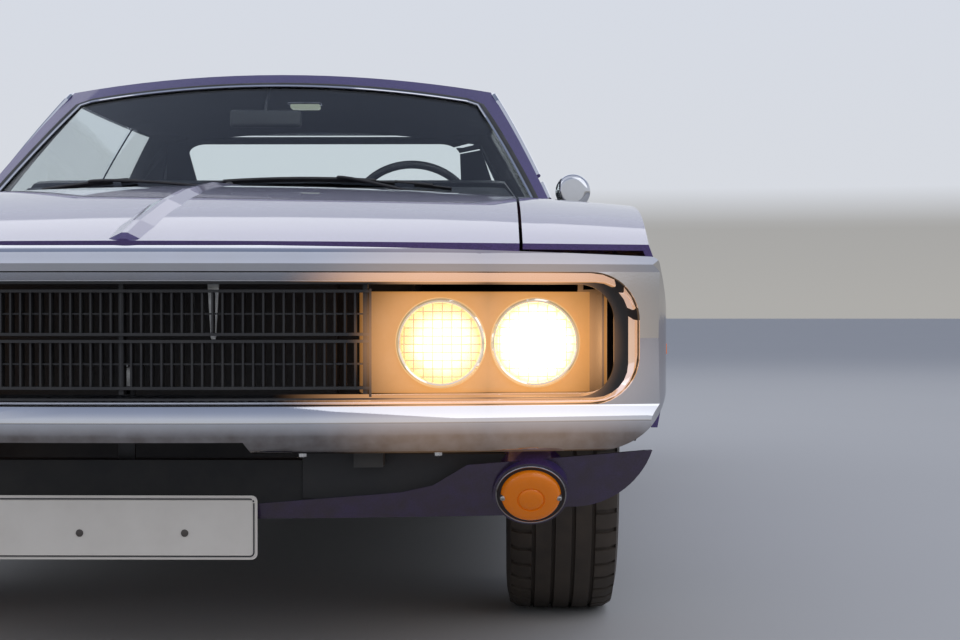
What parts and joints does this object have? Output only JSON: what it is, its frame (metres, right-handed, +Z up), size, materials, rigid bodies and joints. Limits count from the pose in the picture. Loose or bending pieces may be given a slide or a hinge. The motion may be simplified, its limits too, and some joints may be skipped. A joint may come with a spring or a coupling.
{
  "type": "two-door hardtop muscle car",
  "caption": "Full-size two-door hardtop car with a loop front bumper round its grille and lamps, opening hood, doors and trunk lid, and steered wheels.",
  "frame": {"origin": "on the ground, at the middle of the overall length and width", "axes": "+Z up, front towards -Y, the car's left side towards +X"},
  "size_m": [1.948, 5.283, 1.3524],
  "materials": {
    "body_paint": "purple metallic gloss",
    "bright_trim": "mirror bright",
    "clear_glass": "light green tint",
    "black_steel": "satin black",
    "black_vinyl": "grained",
    "seat_vinyl": "black vinyl",
    "engine_iron": "engine enamel",
    "pipe_steel": "dull",
    "amber_lens": "ribbed lens",
    "red_lens": "ribbed lens",
    "wheel_silver": "argent",
    "tyre_rubber": "matte"
  },
  "bodies": {
    "car_body": {"cowl": "body_paint", "roof": "body_paint", "fender_left": "body_paint", "fender_right": "body_paint", "quarter_panel_left": "body_paint", "quarter_panel_right": "body_paint", "sill_left": "body_paint", "sill_right": "body_paint", "rear_shelf": "body_paint", "tail_panel": "body_paint", "tail_lamps": "red_lens", "rear_bumper": "bright_trim", "front_bumper": "bright_trim", "grille": "black_steel", "headlamps": "clear_glass", "front_valance": "body_paint", "turn_signals": "amber_lens", "radiator": "black_steel", "underbody": "black_steel", "dashboard": "black_vinyl", "front_seats": "seat_vinyl", "rear_seat": "seat_vinyl", "engine": "engine_iron", "driveline": "black_steel", "rear_axle": "black_steel", "exhaust": "pipe_steel", "fuel_tank": "black_steel", "front_crossmember": "black_steel", "windshield": "clear_glass", "backlight": "clear_glass", "quarter_glass_left": "clear_glass", "quarter_glass_right": "clear_glass"},
    "hood": {"hood": "body_paint"},
    "trunk_lid": {"trunk_lid": "body_paint"},
    "door_left": {"door_left": "body_paint", "door_glass_left": "clear_glass", "mirror_left": "bright_trim"},
    "door_right": {"door_right": "body_paint", "door_glass_right": "clear_glass", "mirror_right": "bright_trim"},
    "headlamp_door_left": {"headlamp_door_left": "black_steel"},
    "headlamp_door_right": {"headlamp_door_right": "black_steel"},
    "steering_wheel": {"steering_wheel": "black_vinyl"},
    "knuckle_left": {"knuckle_left": "black_steel"},
    "knuckle_right": {"knuckle_right": "black_steel"},
    "wheel_front_left": {"wheel_front_left": "wheel_silver", "tyre_front_left": "tyre_rubber"},
    "wheel_front_right": {"wheel_front_right": "wheel_silver", "tyre_front_right": "tyre_rubber"},
    "wheel_rear_left": {"wheel_rear_left": "wheel_silver", "tyre_rear_left": "tyre_rubber"},
    "wheel_rear_right": {"wheel_rear_right": "wheel_silver", "tyre_rear_right": "tyre_rubber"}
  },
  "joints": [
    {"name": "hood_hinge", "type": "hinge", "parent": "car_body", "child": "hood", "pos_m": [0, -1.0515, 0.966], "axis": [-1, 0, 0], "range_deg": [0, 50]},
    {"name": "trunk_hinge", "type": "hinge", "parent": "car_body", "child": "trunk_lid", "pos_m": [0, 1.4185, 1.008], "axis": [1, 0, 0], "range_deg": [0, 65]},
    {"name": "door_left_hinge", "type": "hinge", "parent": "car_body", "child": "door_left", "pos_m": [0.957, -0.9445, 0.6], "axis": [0, 0, -1], "range_deg": [0, 65]},
    {"name": "door_right_hinge", "type": "hinge", "parent": "car_body", "child": "door_right", "pos_m": [-0.957, -0.9445, 0.6], "axis": [0, 0, 1], "range_deg": [0, 65]},
    {"name": "headlamp_door_left_hinge", "type": "hinge", "parent": "car_body", "child": "headlamp_door_left", "pos_m": [0.60196, -2.3899, 0.597], "axis": [0.9854, 0.1702, 0], "range_deg": [0, 90]},
    {"name": "headlamp_door_right_hinge", "type": "hinge", "parent": "car_body", "child": "headlamp_door_right", "pos_m": [-0.60196, -2.3899, 0.597], "axis": [0.9854, -0.1702, 0], "range_deg": [0, 90]},
    {"name": "steer_left", "type": "hinge", "parent": "car_body", "child": "knuckle_left", "pos_m": [0.746, -1.6865, 0.335], "axis": [0, 0, 1], "range_deg": [-32, 32]},
    {"name": "steer_right", "type": "hinge", "parent": "car_body", "child": "knuckle_right", "pos_m": [-0.746, -1.6865, 0.335], "axis": [0, 0, 1], "range_deg": [-32, 32]},
    {"name": "steering_column", "type": "hinge", "parent": "car_body", "child": "steering_wheel", "pos_m": [0.383, -0.2915, 0.905], "axis": [0, 0.9135, 0.4067], "range_deg": [-520, 520]},
    {"name": "wheel_front_left_spin", "type": "hinge", "parent": "knuckle_left", "child": "wheel_front_left", "pos_m": [0.776, -1.6865, 0.335], "axis": [1, 0, 0], "continuous": true},
    {"name": "wheel_front_right_spin", "type": "hinge", "parent": "knuckle_right", "child": "wheel_front_right", "pos_m": [-0.776, -1.6865, 0.335], "axis": [1, 0, 0], "continuous": true},
    {"name": "wheel_rear_left_spin", "type": "hinge", "parent": "car_body", "child": "wheel_rear_left", "pos_m": [0.768, 1.2855, 0.335], "axis": [1, 0, 0], "continuous": true},
    {"name": "wheel_rear_right_spin", "type": "hinge", "parent": "car_body", "child": "wheel_rear_right", "pos_m": [-0.768, 1.2855, 0.335], "axis": [1, 0, 0], "continuous": true}
  ],
  "couplings": [
    {"joint": "steer_right", "follows": "steer_left", "ratio": 1},
    {"joint": "steering_column", "follows": "steer_left", "ratio": 16}
  ]
}
